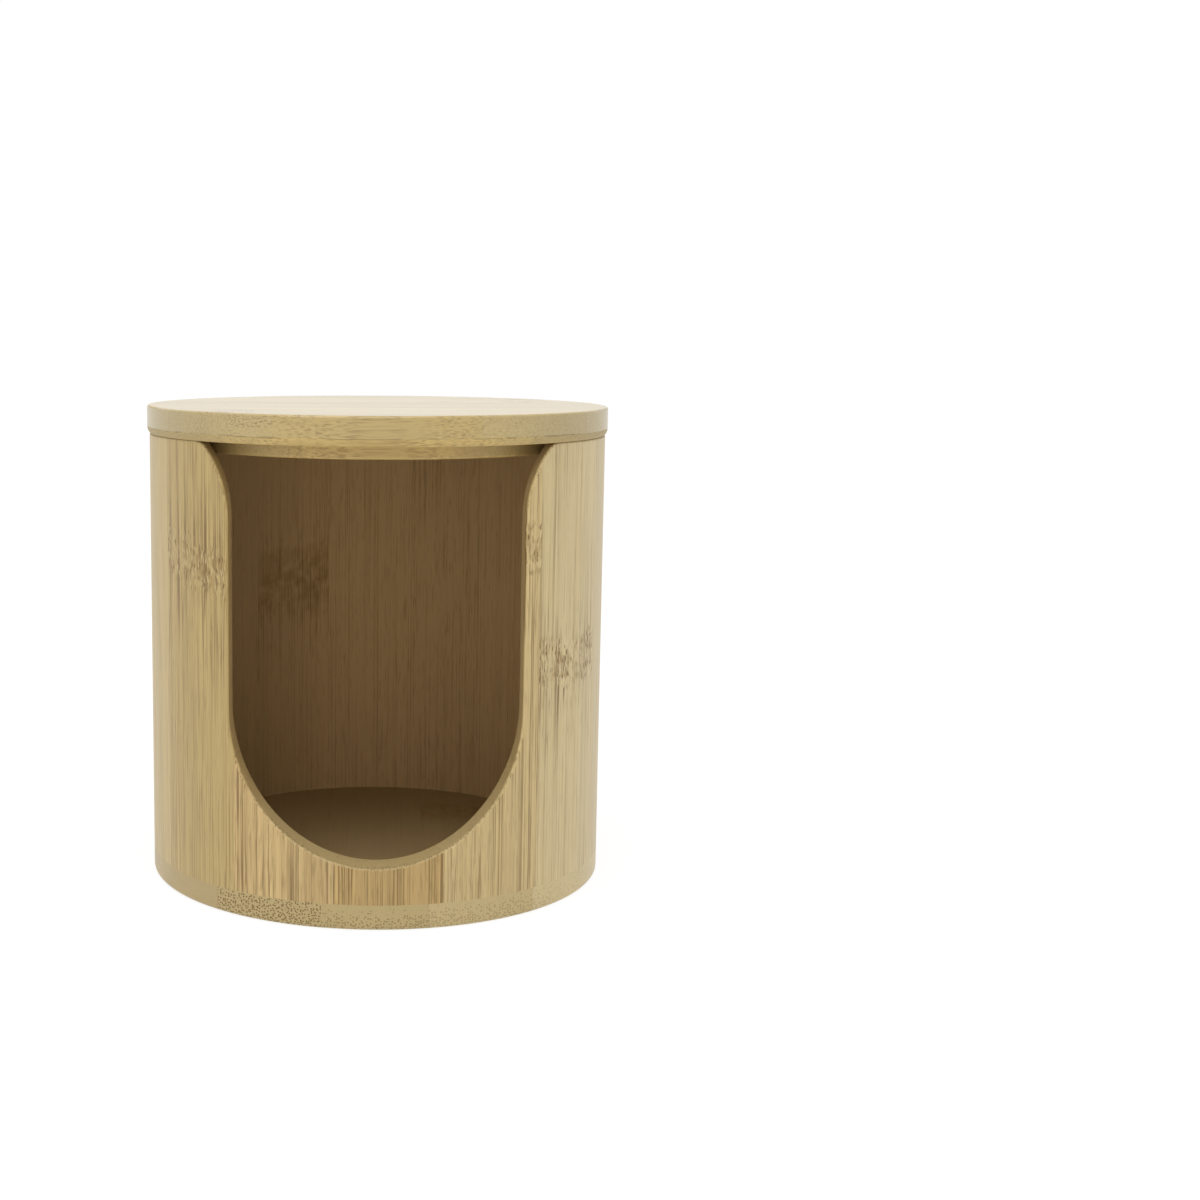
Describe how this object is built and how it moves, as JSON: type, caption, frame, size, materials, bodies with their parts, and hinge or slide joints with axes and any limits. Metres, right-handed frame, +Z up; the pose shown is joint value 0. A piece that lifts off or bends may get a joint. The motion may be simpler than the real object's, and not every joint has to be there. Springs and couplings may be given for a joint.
{
  "type": "cotton pad holder",
  "caption": "Round bamboo holder for cotton pads: a wall of glued staves with a tall round-bottomed window, a strip-laminated base and a lift-off lid that plugs into the mouth.",
  "frame": {"origin": "centre of the flat underside of the base, on the axis of the round wall", "axes": "+Z up along the axis of the wall, the window faces -Y, +X to the right as seen from the window"},
  "size_m": [0.1, 0.1, 0.1023],
  "materials": {
    "stave_bamboo": "sanded satin",
    "base_bamboo": "sanded satin",
    "lid_upper_bamboo": "sanded satin",
    "lid_lower_bamboo": "sanded satin"
  },
  "bodies": {
    "holder": {"base_strip_01": "base_bamboo", "base_strip_02": "base_bamboo", "base_strip_03": "base_bamboo", "base_strip_04": "base_bamboo", "base_strip_05": "base_bamboo", "wall_stave_01": "stave_bamboo", "wall_stave_02": "stave_bamboo", "wall_stave_03": "stave_bamboo", "wall_stave_04": "stave_bamboo", "wall_stave_05": "stave_bamboo", "wall_stave_06": "stave_bamboo", "wall_stave_07": "stave_bamboo", "wall_stave_08": "stave_bamboo", "wall_stave_09": "stave_bamboo", "wall_stave_10": "stave_bamboo", "wall_stave_11": "stave_bamboo", "wall_stave_12": "stave_bamboo", "wall_stave_13": "stave_bamboo", "wall_stave_14": "stave_bamboo"},
    "lid": {"lid_lower_strip_01": "lid_lower_bamboo", "lid_lower_strip_02": "lid_lower_bamboo", "lid_lower_strip_03": "lid_lower_bamboo", "lid_lower_strip_04": "lid_lower_bamboo", "lid_lower_strip_05": "lid_lower_bamboo", "lid_lower_strip_06": "lid_lower_bamboo", "lid_upper_strip_01": "lid_upper_bamboo", "lid_upper_strip_02": "lid_upper_bamboo", "lid_upper_strip_03": "lid_upper_bamboo", "lid_upper_strip_04": "lid_upper_bamboo", "lid_upper_strip_05": "lid_upper_bamboo", "lid_upper_strip_06": "lid_upper_bamboo"}
  },
  "joints": [
    {"name": "lid_lift", "type": "slide", "parent": "holder", "child": "lid", "axis": [0, 0, 1], "range_m": [0, 0.06]}
  ]
}
